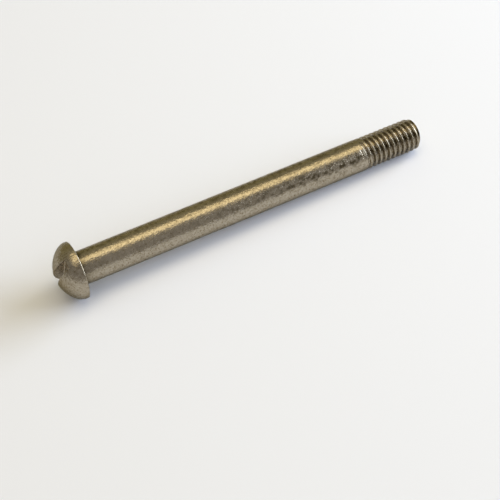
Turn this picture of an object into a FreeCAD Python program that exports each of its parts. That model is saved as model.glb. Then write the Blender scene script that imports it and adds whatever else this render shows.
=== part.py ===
import FreeCAD, Part
import math
import os

import Sketcher
from FreeCAD import Placement, Rotation, Vector

# A long slotted round-head bolt, threaded only at its end, lying as it comes to rest.
# It is built along its own axis: the bearing face under the head is at x = 0, the head is at negative x
# and the thread is at the far end of positive x. Then it is rolled and laid on the ground, z = 0.
# Lengths are in millimetres and angles in degrees.

DIMENSIONS = {
    "shank_diameter": 6.0,
    "shank_length": 55.4,
    "neck_round": 0.25,
    "head_diameter": 10.3,
    "head_height": 4.15,
    "head_shoulder_round": 2.72,
    "head_edge": 0.62,
    "corner_angle": 8.0,
    "rim_round": 0.2,
    "slot_width": 1.75,
    "slot_depth": 2.1,
    "thread_diameter": 5.95,
    "thread_length": 12.1,
    "thread_pitch": 1.0,
    "thread_depth": 0.6,
    "flank_angle": 23.75,
    "root_flat": 0.236,
    "groove_clearance": 0.15,
    "shoulder_taper": 0.5,
    "runout_length": 1.8,
    "end_chamfer_length": 0.9,
    "end_chamfer_depth": 0.3,
    "cutter_clearance": 0.5,
    "rest_roll": 23.0,
}

doc = FreeCAD.newDocument("bracket_bolt")
sheet = doc.addObject("Spreadsheet::Sheet", "dimensions")
for row, (alias, value) in enumerate(DIMENSIONS.items(), start=1):
    sheet.set(f"A{row}", alias)
    sheet.set(f"B{row}", str(value))
    sheet.setAlias(f"B{row}", alias)
doc.recompute()

# The numbers by which a sketch knows the ends and the centre of a curve, and its own axes.
START, END, CENTRE = 1, 2, 3
H_AXIS, V_AXIS = -1, -2
ORIGIN = (-1, 1)


def size(cell):
    """A driving dimension, read from the sheet."""
    return float(sheet.get(cell))


def new_sketch(body, name, role):
    """An empty sketch on one of the body's own origin planes."""
    plane = next(feature for feature in body.Origin.OriginFeatures if feature.Role == role)
    sketch = body.newObject("Sketcher::SketchObject", name)
    sketch.AttachmentSupport = [(plane, "")]
    sketch.MapMode = "FlatFace"
    return sketch


def line(start, end):
    return Part.LineSegment(Vector(*start, 0), Vector(*end, 0))


def arc(centre, radius, first, last):
    """An arc that runs anticlockwise from one angle to the other."""
    circle = Part.Circle(Vector(*centre, 0), Vector(0, 0, 1), radius)
    return Part.ArcOfCircle(circle, math.radians(first), math.radians(last))


def fix(sketch, kind, *references):
    """A constraint with no size."""
    sketch.addConstraint(Sketcher.Constraint(kind, *references))


def measure(sketch, kind, *references, **cells):
    """A size that follows the sheet: the sum of the named cells, each times its factor."""
    value = sum(size(cell) * factor for cell, factor in cells.items())
    index = sketch.addConstraint(Sketcher.Constraint(kind, *references, value))
    terms = [f"dimensions.{cell} * {factor}" for cell, factor in cells.items()]
    sketch.setExpression(f"Constraints[{index}]", " + ".join(terms))


def blank_profile(body):
    """Half the outline of the turned blank, closed along its axis."""
    head_radius = size("head_diameter") / 2
    shank_radius = size("shank_diameter") / 2
    thread_radius = size("thread_diameter") / 2
    head_height = size("head_height")
    head_edge = size("head_edge")
    shoulder = size("head_shoulder_round")
    rim = size("rim_round")
    neck = size("neck_round")
    shank_end = size("shank_length")
    bolt_end = shank_end + size("thread_length")
    thread_start = shank_end + size("shoulder_taper")
    chamfer_start = bolt_end - size("end_chamfer_length")
    end_radius = thread_radius - size("end_chamfer_depth")

    # The shoulder's arc leaves the head's straight edge at a blunt corner. The crown is the arc that has the
    # head's height and runs smoothly into the shoulder's.
    corner = math.radians(size("corner_angle"))
    shoulder_centre = (shoulder * math.sin(corner) - head_edge, head_radius - shoulder * math.cos(corner))
    reach = shoulder_centre[0] + head_height
    crown = (reach**2 + shoulder_centre[1] ** 2 - shoulder**2) / (2 * (reach - shoulder))
    crown_centre = (crown - head_height, 0)
    meeting_angle = math.degrees(math.atan2(shoulder_centre[1], shoulder_centre[0] - crown_centre[0]))

    sketch = new_sketch(body, "blank_profile", "XZ_Plane")
    axis_line, crown_arc, shoulder_arc, edge_line, rim_arc, face_line = range(6)
    neck_arc, shank_line, taper_line, thread_line, chamfer_line, end_line = range(6, 12)
    outline = [
        line((-head_height, 0), (bolt_end, 0)),
        arc(crown_centre, crown, meeting_angle, 180),
        arc(shoulder_centre, shoulder, 90 + size("corner_angle"), meeting_angle),
        line((-head_edge, head_radius), (-rim, head_radius)),
        arc((-rim, head_radius - rim), rim, 0, 90),
        line((0, head_radius - rim), (0, shank_radius + neck)),
        arc((neck, shank_radius + neck), neck, 180, 270),
        line((neck, shank_radius), (shank_end, shank_radius)),
        line((shank_end, shank_radius), (thread_start, thread_radius)),
        line((thread_start, thread_radius), (chamfer_start, thread_radius)),
        line((chamfer_start, thread_radius), (bolt_end, end_radius)),
        line((bolt_end, end_radius), (bolt_end, 0)),
    ]
    sketch.addGeometry(outline, False)

    fix(sketch, "PointOnObject", axis_line, START, H_AXIS)
    fix(sketch, "PointOnObject", axis_line, END, H_AXIS)
    fix(sketch, "Coincident", crown_arc, END, axis_line, START)
    fix(sketch, "PointOnObject", crown_arc, CENTRE, H_AXIS)
    fix(sketch, "Tangent", crown_arc, START, shoulder_arc, END)
    fix(sketch, "Coincident", shoulder_arc, START, edge_line, START)
    fix(sketch, "Horizontal", edge_line)
    fix(sketch, "Tangent", edge_line, END, rim_arc, END)
    fix(sketch, "Tangent", rim_arc, START, face_line, START)
    fix(sketch, "PointOnObject", face_line, START, V_AXIS)
    fix(sketch, "PointOnObject", face_line, END, V_AXIS)
    fix(sketch, "Tangent", face_line, END, neck_arc, START)
    fix(sketch, "Tangent", neck_arc, END, shank_line, START)
    fix(sketch, "Horizontal", shank_line)
    fix(sketch, "Coincident", shank_line, END, taper_line, START)
    fix(sketch, "Coincident", taper_line, END, thread_line, START)
    fix(sketch, "Horizontal", thread_line)
    fix(sketch, "Coincident", thread_line, END, chamfer_line, START)
    fix(sketch, "Coincident", chamfer_line, END, end_line, START)
    fix(sketch, "Vertical", end_line)
    fix(sketch, "Coincident", end_line, END, axis_line, END)

    measure(sketch, "DistanceX", axis_line, START, *ORIGIN, head_height=1)
    measure(sketch, "Radius", shoulder_arc, head_shoulder_round=1)
    measure(sketch, "DistanceX", edge_line, START, *ORIGIN, head_edge=1)
    measure(sketch, "DistanceY", *ORIGIN, edge_line, START, head_diameter=0.5)
    offset = shoulder * math.sin(corner)
    index = sketch.addConstraint(
        Sketcher.Constraint("DistanceX", edge_line, START, shoulder_arc, CENTRE, offset)
    )
    sketch.setExpression(
        f"Constraints[{index}]",
        "dimensions.head_shoulder_round * sin(dimensions.corner_angle * 1 deg)",
    )
    measure(sketch, "Radius", rim_arc, rim_round=1)
    measure(sketch, "Radius", neck_arc, neck_round=1)
    measure(sketch, "DistanceY", *ORIGIN, shank_line, END, shank_diameter=0.5)
    measure(sketch, "DistanceX", *ORIGIN, shank_line, END, shank_length=1)
    measure(sketch, "DistanceX", taper_line, START, taper_line, END, shoulder_taper=1)
    measure(sketch, "DistanceY", *ORIGIN, thread_line, END, thread_diameter=0.5)
    measure(sketch, "DistanceX", shank_line, END, end_line, START, thread_length=1)
    measure(sketch, "DistanceX", chamfer_line, START, chamfer_line, END, end_chamfer_length=1)
    measure(sketch, "DistanceY", chamfer_line, END, chamfer_line, START, end_chamfer_depth=1)
    return sketch


def slot_profile(body):
    """The slot seen across the head: its floor, its two walls, and a mouth clear of the crown."""
    half_width = size("slot_width") / 2
    floor = size("slot_depth") - size("head_height")
    mouth = -size("head_height") - size("cutter_clearance")

    sketch = new_sketch(body, "slot_profile", "XY_Plane")
    floor_line, left_wall, mouth_line, right_wall = range(4)
    corners = [(floor, -half_width), (floor, half_width), (mouth, half_width), (mouth, -half_width)]
    sketch.addGeometry([line(corners[side], corners[(side + 1) % 4]) for side in range(4)], False)
    for side in range(4):
        fix(sketch, "Coincident", side, END, (side + 1) % 4, START)
    fix(sketch, "Horizontal", left_wall)
    fix(sketch, "Horizontal", right_wall)
    fix(sketch, "Vertical", mouth_line)
    fix(sketch, "Symmetric", floor_line, START, floor_line, END, H_AXIS)
    measure(sketch, "DistanceY", floor_line, START, floor_line, END, slot_width=1)
    measure(sketch, "DistanceX", floor_line, START, *ORIGIN, head_height=1, slot_depth=-1)
    measure(sketch, "DistanceX", mouth_line, START, *ORIGIN, head_height=1, cutter_clearance=1)
    return sketch


def groove_profile(body, name):
    """The thread's groove at the first full turn: a flat root between two flanks, just past the metal."""
    middle = size("shank_length") + size("runout_length")
    root = size("thread_diameter") / 2 - size("thread_depth")
    lid = size("thread_diameter") / 2 + size("groove_clearance")
    root_half = size("root_flat") / 2
    flank_run = (lid - root) * math.tan(math.radians(size("flank_angle")))
    lid_half = root_half + flank_run

    sketch = new_sketch(body, name, "XZ_Plane")
    root_line, right_flank, lid_line, left_flank = range(4)
    corners = [
        (middle - root_half, root),
        (middle + root_half, root),
        (middle + lid_half, lid),
        (middle - lid_half, lid),
    ]
    sketch.addGeometry([line(corners[side], corners[(side + 1) % 4]) for side in range(4)], False)
    for side in range(4):
        fix(sketch, "Coincident", side, END, (side + 1) % 4, START)
    fix(sketch, "Horizontal", root_line)
    fix(sketch, "Horizontal", lid_line)
    measure(sketch, "DistanceX", *ORIGIN, root_line, START, shank_length=1, runout_length=1, root_flat=-0.5)
    measure(sketch, "DistanceX", root_line, START, root_line, END, root_flat=1)
    measure(sketch, "DistanceY", *ORIGIN, root_line, START, thread_diameter=0.5, thread_depth=-1)
    measure(sketch, "DistanceY", *ORIGIN, lid_line, START, thread_diameter=0.5, groove_clearance=1)
    flank_height = "(dimensions.thread_depth + dimensions.groove_clearance)"
    for left_end, right_end in [
        ((left_flank, START), (left_flank, END)),
        ((right_flank, START), (right_flank, END)),
    ]:
        index = sketch.addConstraint(Sketcher.Constraint("DistanceX", *left_end, *right_end, flank_run))
        sketch.setExpression(f"Constraints[{index}]", f"{flank_height} * tan(dimensions.flank_angle * 1 deg)")
    return sketch


def check(feature, removed_from=None):
    """Recomputes, and stops if the feature failed or, where it should cut, took nothing away."""
    doc.recompute()
    if "Invalid" in feature.State or "Error" in feature.State or feature.Shape.isNull():
        raise RuntimeError(f"{feature.Label} failed: {feature.State}")
    if removed_from is not None and feature.Shape.Volume >= removed_from.Shape.Volume - 1e-6:
        raise RuntimeError(f"{feature.Label} cuts nothing")
    print(feature.Label, "volume", round(feature.Shape.Volume, 3), "faces", len(feature.Shape.Faces))
    return feature


def turn_blank(body):
    """The head, the shank and the plain end that the thread is cut into, turned as one."""
    profile = blank_profile(body)
    doc.recompute()
    blank = body.newObject("PartDesign::Revolution", "blank")
    blank.Profile = profile
    blank.ReferenceAxis = (profile, ["H_Axis"])
    blank.Angle = 360
    return check(blank)


def cut_slot(body, before):
    """The screwdriver slot, straight across the crown."""
    profile = slot_profile(body)
    doc.recompute()
    slot = body.newObject("PartDesign::Pocket", "slot")
    slot.Profile = profile
    slot.Type = "ThroughAll"
    slot.Midplane = True
    return check(slot, before)


def cut_thread(body, before):
    """A right-hand groove from the first full turn out past the end of the bolt."""
    profile = groove_profile(body, "thread_profile")
    doc.recompute()
    thread = body.newObject("PartDesign::SubtractiveHelix", "thread")
    thread.Profile = profile
    thread.ReferenceAxis = (profile, ["H_Axis"])
    thread.Mode = "pitch-height-angle"
    thread.setExpression("Pitch", "dimensions.thread_pitch")
    thread.setExpression(
        "Height",
        "dimensions.thread_length - dimensions.runout_length + dimensions.thread_pitch",
    )
    return check(thread, before)


def cut_runout(body, before):
    """The same groove carried back towards the shank on a widening cone, until it leaves the metal."""
    profile = groove_profile(body, "runout_profile")
    doc.recompute()
    runout = body.newObject("PartDesign::SubtractiveHelix", "runout")
    runout.Profile = profile
    runout.ReferenceAxis = (profile, ["H_Axis"])
    runout.Mode = "pitch-height-angle"
    runout.Reversed = True
    runout.LeftHanded = False
    runout.setExpression("Pitch", "dimensions.thread_pitch")
    runout.setExpression("Height", "dimensions.runout_length + dimensions.thread_pitch")
    runout.setExpression("Angle", "atan(dimensions.thread_depth / dimensions.runout_length)")
    return check(runout, before)


def lay_down(body):
    """Rolls the bolt, tips it until the head's rim and the end of the thread touch the ground, and centres it."""
    rim = size("rim_round")
    contact_x = size("shank_length") + size("thread_length") - size("end_chamfer_length")
    contact_radius = size("thread_diameter") / 2
    run = contact_x + rim
    rise = size("head_diameter") / 2 - rim - contact_radius
    tip = math.atan2(rise, run) + math.asin(rim / math.hypot(run, rise))
    height = contact_x * math.sin(tip) + contact_radius * math.cos(tip)
    rolled = Rotation(Vector(1, 0, 0), size("rest_roll"))
    tipped = Rotation(Vector(0, 1, 0), math.degrees(tip))
    body.Placement = Placement(Vector(0, 0, height), tipped * rolled)
    doc.recompute()
    middle = body.Shape.optimalBoundingBox(False, False).Center
    body.Placement = Placement(Vector(-middle.x, -middle.y, height), tipped * rolled)
    doc.recompute()
    print("tip", round(math.degrees(tip), 4), "bearing face centre", body.Placement.Base)


def make_bolt():
    body = doc.addObject("PartDesign::Body", "bolt")
    body.Label = "bolt"
    blank = turn_blank(body)
    slotted = cut_slot(body, blank)
    threaded = cut_thread(body, slotted)
    cut_runout(body, threaded)
    lay_down(body)
    return body


bolt = make_bolt()

for item in doc.Objects:
    if "Invalid" in item.State or "Error" in item.State:
        raise RuntimeError(f"{item.Label} failed: {item.State}")

os.makedirs("parts", exist_ok=True)
for body in [bolt]:
    shape = body.Shape
    if shape.isNull() or not shape.isValid() or len(shape.Solids) != 1:
        raise RuntimeError(f"{body.Label} isn't one valid solid")
    shape.exportStep(f"parts/{body.Label}.step")
    print(body.Label, shape.BoundBox, "volume", round(shape.Volume, 2))
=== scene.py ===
import itertools
import math

import bpy
import numpy as np
from mathutils import Euler, Matrix, Quaternion, Vector


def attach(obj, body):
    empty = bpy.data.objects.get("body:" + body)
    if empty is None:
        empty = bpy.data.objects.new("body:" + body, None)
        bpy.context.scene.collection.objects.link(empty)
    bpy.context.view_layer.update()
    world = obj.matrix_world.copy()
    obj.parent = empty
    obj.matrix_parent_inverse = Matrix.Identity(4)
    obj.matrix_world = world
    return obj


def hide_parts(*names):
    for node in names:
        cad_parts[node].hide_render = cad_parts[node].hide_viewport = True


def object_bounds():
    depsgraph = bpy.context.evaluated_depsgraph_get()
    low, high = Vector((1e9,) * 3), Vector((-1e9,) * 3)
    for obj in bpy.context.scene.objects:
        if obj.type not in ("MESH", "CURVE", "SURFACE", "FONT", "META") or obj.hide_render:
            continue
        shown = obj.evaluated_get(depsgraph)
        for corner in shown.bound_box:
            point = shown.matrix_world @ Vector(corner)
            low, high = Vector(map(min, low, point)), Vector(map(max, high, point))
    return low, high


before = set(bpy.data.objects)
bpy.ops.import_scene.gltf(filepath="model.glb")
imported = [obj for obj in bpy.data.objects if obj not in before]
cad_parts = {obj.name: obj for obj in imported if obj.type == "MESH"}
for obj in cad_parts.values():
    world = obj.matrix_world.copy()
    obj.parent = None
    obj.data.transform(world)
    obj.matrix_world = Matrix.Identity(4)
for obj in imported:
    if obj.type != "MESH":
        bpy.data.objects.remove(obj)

cad_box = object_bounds()

# A long slotted round-head bolt, lying on the ground. Its surface is worked out in millimetres
# along the bolt's own axis, with the bearing face under the head at x = 0, the head on the negative
# side and the thread at the far end. Then it is worn, laid down and turned into metres.
MM = 0.001
QUARTER = math.pi / 2
TURN = 2 * math.pi

# The head, with a shoulder whose arc meets the straight edge at a blunt corner, and with its slot.
HEAD_RADIUS = 5.15
HEAD_HEIGHT = 4.15
HEAD_EDGE = 0.62
SHOULDER = 2.72
CORNER = math.radians(8.0)
RIM = 0.2
SLOT_HALF = 0.875
SLOT_DEPTH = 2.1
SLOT_BLEND = 0.06

# The neck and the plain shank.
NECK = 0.25
SHANK_RADIUS = 3.0
SHANK_LENGTH = 55.4

# The threaded end. Its grooves rise out of the metal over the run-out.
THREAD_RADIUS = 2.975
THREAD_LENGTH = 12.1
THREAD_DEPTH = 0.6
PITCH = 1.0
ROOT_HALF = 0.118
FLANK_SLOPE = 1 / math.tan(math.radians(23.75))
THREAD_BLEND = 0.16
TAPER = 0.5
RUNOUT = 1.8
CHAMFER_LENGTH = 0.9
CHAMFER_DEPTH = 0.3
BOLT_END = SHANK_LENGTH + THREAD_LENGTH
FIRST_GROOVE = SHANK_LENGTH + RUNOUT

# How far the bolt is rolled about its axis as it lies.
REST_ROLL = math.radians(23.0)

# Large numbers that scatter whole-number points, and the bits of the result that are kept.
SCATTER = np.array([374761393, 668265263, 2147483647])
STIR = 1274126177
KEPT_BITS = 0xFFFFFF


def lattice(corner, seed):
    """A number from 0 to 1 for each whole-number point, the same every time."""
    n = (corner * SCATTER).sum(-1) + seed * STIR
    n = (n ^ (n >> 13)) * STIR
    n = n ^ (n >> 16)
    return (n & KEPT_BITS) / float(KEPT_BITS)


def smooth_step(value):
    """Rises from 0 to 1 as the value does, with a soft start and a soft end."""
    value = np.clip(value, 0, 1)
    return value * value * (3 - 2 * value)


def noise(points, cell, seed):
    """Smooth noise from 0 to 1, with features about one cell across."""
    scaled = points / cell
    base = np.floor(scaled).astype(np.int64)
    within = smooth_step(scaled - base)
    total = np.zeros(len(points))
    for step in itertools.product((0, 1), repeat=3):
        near = np.where(step, within, 1 - within)
        total += near[:, 0] * near[:, 1] * near[:, 2] * lattice(base + step, seed)
    return total


def soft_max(a, b, radius):
    """The larger of two, with the corner between them rounded."""
    h = np.clip(0.5 + 0.5 * (a - b) / radius, 0, 1)
    return b + (a - b) * h + radius * h * (1 - h)


# The head's top is a wide arc over the crown that runs smoothly into a tighter one, the shoulder.
SHOULDER_X = SHOULDER * math.sin(CORNER) - HEAD_EDGE
SHOULDER_R = HEAD_RADIUS - SHOULDER * math.cos(CORNER)
REACH = SHOULDER_X + HEAD_HEIGHT
CROWN = (REACH**2 + SHOULDER_R**2 - SHOULDER**2) / (2 * (REACH - SHOULDER))
CROWN_X = CROWN - HEAD_HEIGHT
MEETING_R = CROWN * math.sin(math.atan2(SHOULDER_R, SHOULDER_X - CROWN_X))
SLOT_FLOOR = SLOT_DEPTH - HEAD_HEIGHT


def dome(rho):
    """How far along the axis the head's top lies, at a distance from the axis."""
    crown = CROWN_X - np.sqrt(np.maximum(CROWN**2 - rho**2, 0))
    across = np.clip(rho - SHOULDER_R, 0, SHOULDER)
    shoulder = SHOULDER_X - np.sqrt(np.maximum(SHOULDER**2 - across**2, 0))
    return np.where(rho < MEETING_R, crown, shoulder)


# Lines that run along the slot's wall: how far outside the wall each lies, and the share of the
# slot's depth that it has. They round the corner at the floor and the edge at the top.
WALL_LINES = [
    (-0.180, 1.0),
    (-0.100, 0.985),
    (-0.048, 0.95),
    (-0.018, 0.88),
    (-0.006, 0.75),
    (-0.004, 0.55),
    (-0.002, 0.35),
    (0.000, 0.16),
    (0.006, 0.095),
    (0.022, 0.048),
    (0.050, 0.020),
    (0.090, 0.005),
    (0.140, 0.0),
]
# Lines along the slot's floor, by their distance from its middle, and the number of lines outside
# the slot and of points on each line. Past FAN_FROM of its length a line fans out.
FLOOR_LINES = [0.0, 0.25, 0.5]
OUTER_LINES = 26
ALONG = 96
FAN_FROM = 0.885


def line_positions():
    """Each line's place across the slot, its share of the slot's depth, and its rim angle."""
    half = [(across, 1.0) for across in FLOOR_LINES]
    half += [(SLOT_HALF + outside, depth) for outside, depth in WALL_LINES]
    first = math.asin(half[-1][0] / HEAD_RADIUS)
    for k in range(1, OUTER_LINES + 1):
        angle = first + (QUARTER - first) * k / OUTER_LINES
        half.append((HEAD_RADIUS * math.sin(angle), 0.0))
    lines = [(-across, depth) for across, depth in reversed(half[1:])] + half
    place, share = np.array(lines).T
    return place, share, np.linspace(-QUARTER, QUARTER, len(lines))


PLACE, SHARE, ANGLE = line_positions()
LINES = len(PLACE)
RING = 2 * LINES - 2
RING_ANGLE = np.concatenate([ANGLE, math.pi - ANGLE[-2:0:-1]])


def head_top():
    """The head's top as lines along the slot, fanned out at their ends to share the rim evenly."""
    along = np.sin(np.linspace(-QUARTER, QUARTER, ALONG))
    fan = smooth_step((np.abs(along) - FAN_FROM) / (1 - FAN_FROM))[None, :]
    y = PLACE[:, None] * (1 - fan) + HEAD_RADIUS * np.sin(ANGLE)[:, None] * fan
    z = along[None, :] * np.sqrt(np.maximum(HEAD_RADIUS**2 - y**2, 0))
    top = dome(np.hypot(y, z))
    cut = soft_max(SLOT_FLOOR - top, 0, SLOT_BLEND)
    x = top + SHARE[:, None] * cut * (1 - fan)
    return np.stack([x, y, z], -1)


def around(x, r):
    """A ring of points about the axis."""
    y, z = r * np.sin(RING_ANGLE), r * np.cos(RING_ANGLE)
    return np.stack([np.full(RING, float(x)), y, z], -1)


# The rings on the head's straight edge, by their distance from its upper end, the numbers of rings
# round the rim, over the bearing face, round the neck and along the shank, and the stretch of the
# shank that they cover. The thread's own grid takes over where they end.
EDGE_RINGS = (0.05, 0.16, 0.29, 0.38)
RIM_RINGS = 7
FACE_RINGS = 9
NECK_RINGS = 6
SHANK_RINGS = 250
RINGS_FROM = 0.45
THREAD_FROM = 54.6


def plain_rings():
    """The head's edge, rim and bearing face, the neck and the shank, as places and radii."""
    rings = [(-HEAD_EDGE + step, HEAD_RADIUS) for step in EDGE_RINGS]
    for a in np.linspace(0, QUARTER, RIM_RINGS):
        rings.append((-RIM + RIM * math.sin(a), HEAD_RADIUS - RIM + RIM * math.cos(a)))
    for r in np.linspace(HEAD_RADIUS - RIM, SHANK_RADIUS + NECK, FACE_RINGS)[1:]:
        rings.append((0.0, r))
    for a in np.linspace(0, QUARTER, NECK_RINGS)[1:]:
        rings.append((NECK - NECK * math.cos(a), SHANK_RADIUS + NECK - NECK * math.sin(a)))
    for x in np.linspace(RINGS_FROM, THREAD_FROM, SHANK_RINGS):
        rings.append((x, SHANK_RADIUS))
    return rings


def blank_radius(x):
    """The radius of the threaded end before its thread is cut."""
    taper = np.clip((x - SHANK_LENGTH) / TAPER, 0, 1)
    chamfer = np.clip((x - (BOLT_END - CHAMFER_LENGTH)) / CHAMFER_LENGTH, 0, 1)
    return SHANK_RADIUS + (THREAD_RADIUS - SHANK_RADIUS) * taper - CHAMFER_DEPTH * chamfer


def thread_radius(x, offset):
    """The radius of the surface, given its offset along the axis from the nearest groove."""
    lift = THREAD_DEPTH / RUNOUT * np.maximum(0, FIRST_GROOVE - (x - offset))
    flank = soft_max((np.abs(offset) - ROOT_HALF) * FLANK_SLOPE, 0, THREAD_BLEND)
    groove = THREAD_RADIUS - THREAD_DEPTH + flank + lift
    return -soft_max(-groove, -blank_radius(x), THREAD_BLEND)


# The places of the grid's rows over one pitch, as shares of it from the groove's middle, and the
# turns that they are laid on, counted from the first full groove.
HALF_PHASES = [0.035, 0.10, 0.16, 0.22, 0.29, 0.35, 0.40, 0.45]
PHASES = np.array([-0.5] + [-phase for phase in reversed(HALF_PHASES)] + HALF_PHASES)
GRID_TURNS = np.arange(-3, 12)


def thread_grid():
    """A grid that follows the right-hand thread: each row keeps its place on the groove."""
    row = (FIRST_GROOVE + GRID_TURNS[:, None] * PITCH + PHASES[None, :] * PITCH).ravel()
    lead = np.append(RING_ANGLE, RING_ANGLE[0] + TURN) / TURN * PITCH
    x = np.clip(row[:, None] - lead[None, :], THREAD_FROM, BOLT_END)
    offset = (x - FIRST_GROOVE + lead[None, :] + PITCH / 2) % PITCH - PITCH / 2
    r = thread_radius(x, offset)
    turn = lead / PITCH * TURN
    return np.stack([x, r * np.sin(turn)[None, :], r * np.cos(turn)[None, :]], -1)


# Points nearer to one another than this become one.
WELD = 1e-5


class Surface:
    """Points and the faces between them, collected piece by piece."""

    def __init__(self):
        self.points, self.faces = [], []

    def add(self, points):
        """Adds points and gives their numbers."""
        first = len(self.points)
        self.points.extend(np.asarray(points).reshape(-1, 3).tolist())
        return np.arange(first, len(self.points))

    def bridge(self, near, far):
        """Joins two closed rings."""
        for k in range(len(near)):
            m = (k + 1) % len(near)
            self.faces.append((int(near[k]), int(far[k]), int(far[m]), int(near[m])))

    def grid(self, index, flip=False):
        """Joins the points of a grid, given by rows of numbers."""
        a, b = index[:-1, :-1].ravel(), index[1:, :-1].ravel()
        c, d = index[1:, 1:].ravel(), index[:-1, 1:].ravel()
        quads = np.stack([a, d, c, b] if flip else [a, b, c, d], -1)
        self.faces += [tuple(int(v) for v in quad) for quad in quads]

    def weld(self):
        """Joins points that lie on one another, and drops the faces that vanish."""
        points = np.array(self.points)
        key = np.round(points / WELD).astype(np.int64)
        _, first, place = np.unique(key, axis=0, return_index=True, return_inverse=True)
        place = place.ravel().tolist()
        kept = []
        for face in self.faces:
            ring = tuple(dict.fromkeys(place[v] for v in face))
            if len(ring) > 2:
                kept.append(ring)
        return points[first], kept


# The rings on the flat end, as shares of its radius.
END_RINGS = (0.97, 0.85, 0.6, 0.3)


def bolt_surface():
    """The whole bolt, closed, along its own axis."""
    surface = Surface()
    top = surface.add(head_top()).reshape(LINES, ALONG)
    surface.grid(top, flip=True)
    previous = np.concatenate([top[:, -1], top[-2:0:-1, 0]])
    for x, r in plain_rings():
        ring = surface.add(around(x, r))
        surface.bridge(previous, ring)
        previous = ring
    thread = thread_grid()
    rows = surface.add(thread).reshape(thread.shape[:2])
    surface.grid(rows)
    previous = rows[-1, :-1]
    last = thread[-1, :-1]
    for share in END_RINGS:
        ring = surface.add(last * np.array([1, share, share]))
        surface.bridge(previous, ring)
        previous = ring
    middle = int(surface.add([[BOLT_END, 0, 0]])[0])
    for k in range(RING):
        surface.faces.append((int(previous[(k + 1) % RING]), int(previous[k]), middle))
    return surface.weld()


def vertex_normals(points, faces):
    """The outward direction at each point, to which a larger face gives more."""
    normal = np.zeros_like(points)
    for corners in (3, 4):
        group = np.array([face for face in faces if len(face) == corners])
        a, b = points[group[:, 0]], points[group[:, 1]]
        c, d = points[group[:, 2]], points[group[:, -1]]
        facing = np.cross(c - a, d - b) if corners == 4 else np.cross(b - a, c - a)
        for k in range(corners):
            np.add.at(normal, group[:, k], facing)
    length = np.linalg.norm(normal, axis=1, keepdims=True)
    return normal / np.maximum(length, 1e-12)


# The depths of the wear. A pit forms where its noise passes PIT_FROM.
WORN_ALL_OVER = 0.004
UNEVENNESS = 0.007
DIPS = 0.008
PITS = 0.018
PIT_FROM = 0.82


def wear(points):
    """How deep the surface is worn: a fine unevenness, broad dips and a few pits."""
    fine = noise(points, cell=0.34, seed=3)
    broad = noise(points, cell=1.9, seed=5)
    pits = np.clip((noise(points, cell=0.5, seed=11) - PIT_FROM) / (1 - PIT_FROM), 0, 1)
    return WORN_ALL_OVER + UNEVENNESS * fine + DIPS * broad + PITS * pits


# How dark the colour is painted: painted shade in the grooves, dirt on the flat end, painted shade
# round the neck where the head meets the shank, and painted shade in the head's patch.
GROOVE_SHADE = 0.27
END_DIRT = 0.3
NECK_SHADE = 0.85
PATCH_SHADE = 0.3
# Dirt spots on the shank: sparse near the head and dense near the thread, and fainter on top. On
# the front they lie in a band of painted shade.
SPARSE, DENSE = 0.20, 0.90
TOP_SPOTS = 0.5
# On the thread's front the painted shade is even, with dirt spots on it.
EVEN_SHADE, THREAD_SPOTS = 0.45, 0.4
# Where bands lie about the axis, in degrees, and how wide they are: painted shade on the front,
# spots on top and painted shade in the head's patch. Near the thread the front's band on the shank
# is wider by WIDER and lower by LOWER.
FRONT, FRONT_WIDTH = -27, 19
THREAD_WIDTH = 14
TOP, TOP_WIDTH = 42, 24
PATCH, PATCH_WIDTH = -10, 30
WIDER, LOWER = 5, 4
# The noise at which a spot begins, and how much more of it makes a full one.
SPOT_FROM, SPOT_FULL = 0.50, 0.2
# The painted shade in a groove is full at this share of its depth.
FULL_AT = 0.8
# The length over which the painted shade round the neck fades, the radius that it reaches on the
# bearing face, and how far in front of that face it begins.
NECK_FADE = 1.1
NECK_REACH = 4.6
NECK_START = 0.05


def band(turn, middle, width):
    """One at a place about the axis, fading away on either side."""
    return np.exp(-(((turn - middle) / width) ** 2))


def growth(value, start, length):
    """Grows from 0 to 1 over a length from a start."""
    return smooth_step((value - start) / length)


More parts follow.
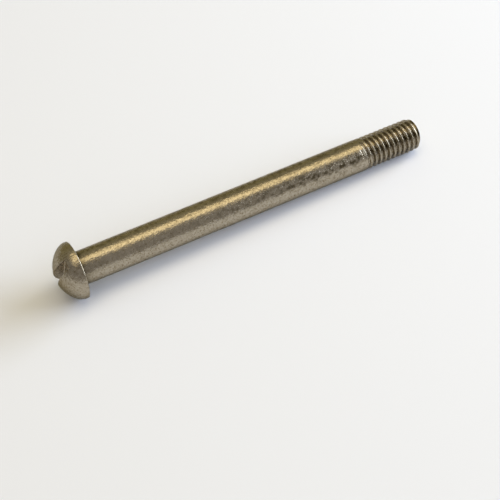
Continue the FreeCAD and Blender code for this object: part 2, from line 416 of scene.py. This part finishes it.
def dirt_and_shade(points):
    """How dark each point is painted: painted shade in the thread's grooves, dirt on the flat end,
    dirt spots in a band of painted shade on the shank's front and spots along its top, even painted
    shade with spots on the thread's front, and painted shade round the neck and in a patch on the
    head."""
    x, rho = points[:, 0], np.hypot(points[:, 1], points[:, 2])
    turn = np.degrees(np.arctan2(points[:, 1], points[:, 2]))
    threaded = x > SHANK_LENGTH
    # Painted shade in the thread's grooves, darker towards their roots; the flat end gets dirt.
    groove_depth = np.clip((blank_radius(x) - rho) / (FULL_AT * THREAD_DEPTH), 0, 1) * threaded
    groove = np.where(x > BOLT_END - 0.01, END_DIRT, groove_depth)

    spots = np.clip((noise(points, cell=0.42, seed=23) - SPOT_FROM) / SPOT_FULL, 0, 1)
    shank = spots * (SPARSE + (DENSE - SPARSE) * growth(x, 14, 38)) * (x > 0)
    near_thread = growth(x, 30, 20) * ~threaded
    # A band of painted shade on the front: dirt spots in it on the shank, even shade with spots on
    # the thread.
    width = np.where(threaded, THREAD_WIDTH, FRONT_WIDTH + WIDER * near_thread)
    front = band(turn, FRONT - LOWER * near_thread, width)
    front *= np.where(threaded, EVEN_SHADE + THREAD_SPOTS * spots, shank)
    top = band(turn, TOP, TOP_WIDTH) * TOP_SPOTS * spots * (x > 0) * (x < SHANK_LENGTH)

    # Painted shade round the neck, where the head meets the shank.
    neck = np.exp(-np.maximum(x, 0) / NECK_FADE) * (x > -NECK_START) * (rho < NECK_REACH)
    # Painted shade in a patch on the head's dome.
    patch = band(turn, PATCH, PATCH_WIDTH) * (x < -NECK_START) * growth(rho, 2, 1.5)
    mottling = 0.5 + noise(points, cell=0.7, seed=17)
    neck_and_patch = (NECK_SHADE * neck + PATCH_SHADE * patch) * mottling
    return np.clip(GROOVE_SHADE * groove + neck_and_patch + front + top, 0, 1)


# Painted light lightens the slot from its wall, fully so at this depth below the crown.
FULL_LIGHT_DEPTH = 0.5


def slot_light(points):
    """One inside the slot, where painted light lightens its shaded inside, and nothing elsewhere.
    """
    x, rho = points[:, 0], np.hypot(points[:, 1], points[:, 2])
    below = x - dome(np.minimum(rho, HEAD_RADIUS))
    inside = (np.abs(points[:, 1]) < SLOT_HALF + 0.01) * (x < -0.5)
    return np.clip(below / FULL_LIGHT_DEPTH, 0, 1) * inside


def lying(points):
    """Rolls the bolt and tips it until the head's rim and the end of its thread touch down."""
    contact_x = BOLT_END - CHAMFER_LENGTH
    run = contact_x + RIM
    rise = HEAD_RADIUS - RIM - THREAD_RADIUS
    tip = math.atan2(rise, run) + math.asin(RIM / math.hypot(run, rise))
    height = contact_x * math.sin(tip) + THREAD_RADIUS * math.cos(tip)
    turn = Matrix.Rotation(tip, 3, "Y") @ Matrix.Rotation(REST_ROLL, 3, "X")
    placed = points @ np.array(turn).T
    placed[:, 2] += height
    return placed


def add_object(name, data):
    piece = bpy.data.objects.new(name, data)
    bpy.context.scene.collection.objects.link(piece)
    return piece


# Edges that turn by more than this stay sharp.
SHARP_FROM = math.radians(50)


def make_bolt():
    """The worn bolt, lying at the middle of the CAD's own box."""
    points, faces = bolt_surface()
    normals = vertex_normals(points, faces)
    unworn = lying(points)
    middle = (cad_box[0][0] + cad_box[1][0]) / 2 / MM
    worn = lying(points - normals * wear(points)[:, None])
    worn[:, 0] += middle - (unworn[:, 0].min() + unworn[:, 0].max()) / 2
    mesh = bpy.data.meshes.new("bolt_body")
    mesh.from_pydata((worn * MM).tolist(), [], faces)
    mesh.validate()
    mesh.update()
    mesh.shade_smooth()
    mesh.set_sharp_from_angle(angle=SHARP_FROM)
    # The attributes that colour the metal: dirt and painted shade, and painted light inside the
    # slot.
    for name, value in (("dirt_and_shade", dirt_and_shade(points)), ("slot_light", slot_light(points))):
        attribute = mesh.attributes.new(name, "FLOAT", "POINT")
        attribute.data.foreach_set("value", value.astype(np.float32))
    return add_object("bolt_body", mesh)


# The metal's colours from its darkest grain to its lightest, with the noise at which each lies.
METAL_STOPS = [
    (0.34, (0.23, 0.19, 0.13, 1)),
    (0.43, (0.33, 0.285, 0.215, 1)),
    (0.50, (0.37, 0.325, 0.25, 1)),
    (0.66, (0.43, 0.38, 0.305, 1)),
]
# The same for its roughness, as greys.
GLOSS_STOPS = [(0.3, (0.32, 0.32, 0.32, 1)), (0.7, (0.17, 0.17, 0.17, 1))]
# The dark colour for dirt and painted shade.
DIRT_AND_SHADE = (0.09, 0.07, 0.035, 1)
# The lighter colour painted into the slot as painted light.
SLOT_LIGHT_COLOUR = (0.72, 0.66, 0.59, 1)
EDGE_TINT = (0.5, 0.48, 0.42, 1)
GRAIN = 2800
# The bumps' scale, strength and height in metres, from the finest to the broadest.
BUMPS = [(6500, 0.45, 0.00004), (3300, 0.5, 0.00007), (1200, 0.5, 0.00012)]


def bolt_metal():
    """Warm, slightly dull metal with a fine grain, darkened by dirt and painted shade and lightened
    in the slot by painted light.
    """
    material = bpy.data.materials.new("bolt_metal")
    material.use_nodes = True
    nodes, links = material.node_tree.nodes, material.node_tree.links
    shader = nodes["Principled BSDF"]
    shader.inputs["Metallic"].default_value = 1.0
    place = nodes.new("ShaderNodeTexCoord")

    def grain(scale, detail, rough):
        texture = nodes.new("ShaderNodeTexNoise")
        texture.inputs["Scale"].default_value = scale
        texture.inputs["Detail"].default_value = detail
        texture.inputs["Roughness"].default_value = rough
        links.new(place.outputs["Object"], texture.inputs["Vector"])
        return texture.outputs["Fac"]

    def ramp(value, stops):
        colours = nodes.new("ShaderNodeValToRGB")
        elements = colours.color_ramp.elements
        elements[0].position, elements[0].color = stops[0]
        elements[1].position, elements[1].color = stops[-1]
        for position, colour in stops[1:-1]:
            elements.new(position).color = colour
        links.new(value, colours.inputs["Fac"])
        return colours.outputs["Color"]

    def blended(colour, attribute, other):
        value = nodes.new("ShaderNodeAttribute")
        value.attribute_name = attribute
        mix = nodes.new("ShaderNodeMix")
        mix.data_type = "RGBA"
        mix.inputs["B"].default_value = other
        links.new(value.outputs["Fac"], mix.inputs["Factor"])
        links.new(colour, mix.inputs["A"])
        return mix.outputs["Result"]

    colour = ramp(grain(GRAIN, detail=3, rough=0.65), METAL_STOPS)
    # Darkens the colour with dirt and painted shade.
    colour = blended(colour, "dirt_and_shade", DIRT_AND_SHADE)
    # Lightens the slot's shaded inside with painted light.
    colour = blended(colour, "slot_light", SLOT_LIGHT_COLOUR)
    links.new(colour, shader.inputs["Base Color"])
    shader.inputs["Specular Tint"].default_value = EDGE_TINT
    gloss = ramp(grain(GRAIN, detail=3, rough=0.6), GLOSS_STOPS)
    links.new(gloss, shader.inputs["Roughness"])

    below = None
    for scale, strength, distance in BUMPS:
        bump = nodes.new("ShaderNodeBump")
        bump.inputs["Strength"].default_value = strength
        bump.inputs["Distance"].default_value = distance
        links.new(grain(scale, detail=2, rough=0.6), bump.inputs["Height"])
        if below:
            links.new(below, bump.inputs["Normal"])
        below = bump.outputs["Normal"]
    links.new(below, shader.inputs["Normal"])
    return material


FLOOR_HALF = 0.6


def plain_floor():
    """A pale matt floor."""
    material = bpy.data.materials.new("floor")
    material.use_nodes = True
    shader = material.node_tree.nodes["Principled BSDF"]
    shader.inputs["Base Color"].default_value = (0.81, 0.83, 0.90, 1)
    shader.inputs["Roughness"].default_value = 0.9
    shader.inputs["Specular IOR Level"].default_value = 0.0
    signs = [(-1, -1), (1, -1), (1, 1), (-1, 1)]
    corners = [(x * FLOOR_HALF, y * FLOOR_HALF, 0) for x, y in signs]
    mesh = bpy.data.meshes.new("floor")
    mesh.from_pydata(corners, [], [(0, 1, 2, 3)])
    mesh.materials.append(material)
    add_object("floor", mesh)


def panel(name, place, facing, width, depth, power, colour, turn=0.0):
    """A broad soft light, turned in its own plane by some degrees."""
    data = bpy.data.lights.new(name, "AREA")
    data.shape = "RECTANGLE"
    data.size, data.size_y = width, depth
    data.energy = power
    data.color = colour
    lamp = add_object(name, data)
    lamp.location = place
    aim = Vector(facing).to_track_quat("-Z", "Y") @ Quaternion((0, 0, 1), math.radians(turn))
    lamp.rotation_euler = aim.to_euler()


# The room's colours in front, from the head's end to the thread's, and the colour behind.
ROOM_STOPS = [(0.12, (0.43, 0.41, 0.39, 1)), (0.42, (0.30, 0.28, 0.25, 1))]
ROOM_BEHIND = (0.36, 0.32, 0.145, 1)


def dim_room():
    """The light from all round: grey in front, dimmer at one end, and warmer behind."""
    world = bpy.data.worlds.new("world")
    world.use_nodes = True
    nodes, links = world.node_tree.nodes, world.node_tree.links
    place = nodes.new("ShaderNodeTexCoord")
    split = nodes.new("ShaderNodeSeparateXYZ")
    colours = nodes.new("ShaderNodeValToRGB")
    for element, (position, colour) in zip(colours.color_ramp.elements, ROOM_STOPS):
        element.position, element.color = position, colour
    mix = nodes.new("ShaderNodeMix")
    mix.data_type = "RGBA"
    mix.inputs["B"].default_value = ROOM_BEHIND
    links.new(place.outputs["Generated"], split.inputs["Vector"])
    links.new(split.outputs["X"], colours.inputs["Fac"])
    links.new(split.outputs["Y"], mix.inputs["Factor"])
    links.new(colours.outputs["Color"], mix.inputs["A"])
    links.new(mix.outputs["Result"], nodes["Background"].inputs["Color"])
    return world


# The camera's place in millimetres and its turn in degrees.
CAMERA_PLACE = (-67.297, -148.576, 168.414)
CAMERA_TURN = (42.553, 3.732, -28.584)
CAMERA_LENS = 94.29
SENSOR_WIDTH = 36
SEES_TO = 10


def add_camera():
    data = bpy.data.cameras.new("camera")
    data.lens = CAMERA_LENS
    data.sensor_width = SENSOR_WIDTH
    data.clip_end = SEES_TO
    camera = add_object("camera", data)
    camera.location = Vector(CAMERA_PLACE) * MM
    camera.rotation_euler = Euler([math.radians(angle) for angle in CAMERA_TURN])
    bpy.context.scene.camera = camera


bolt = make_bolt()
bolt.data.materials.append(bolt_metal())
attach(bolt, "root")
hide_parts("bolt")

plain_floor()
panel(
    "overhead",
    place=(0.085, 0.020, 0.5),
    facing=(0, 0, -1),
    width=0.75,
    depth=0.270,
    power=1.20,
    colour=(1.0, 0.85, 0.51),
    turn=8,
)
panel(
    "side",
    place=(0.72, -0.12, 0.26),
    facing=(-0.72, 0.12, -0.26),
    width=0.8,
    depth=0.45,
    power=10.4,
    colour=(0.77, 0.86, 1.0),
)
bpy.context.scene.world = dim_room()
bpy.context.scene.view_settings.view_transform = "Standard"
add_camera()
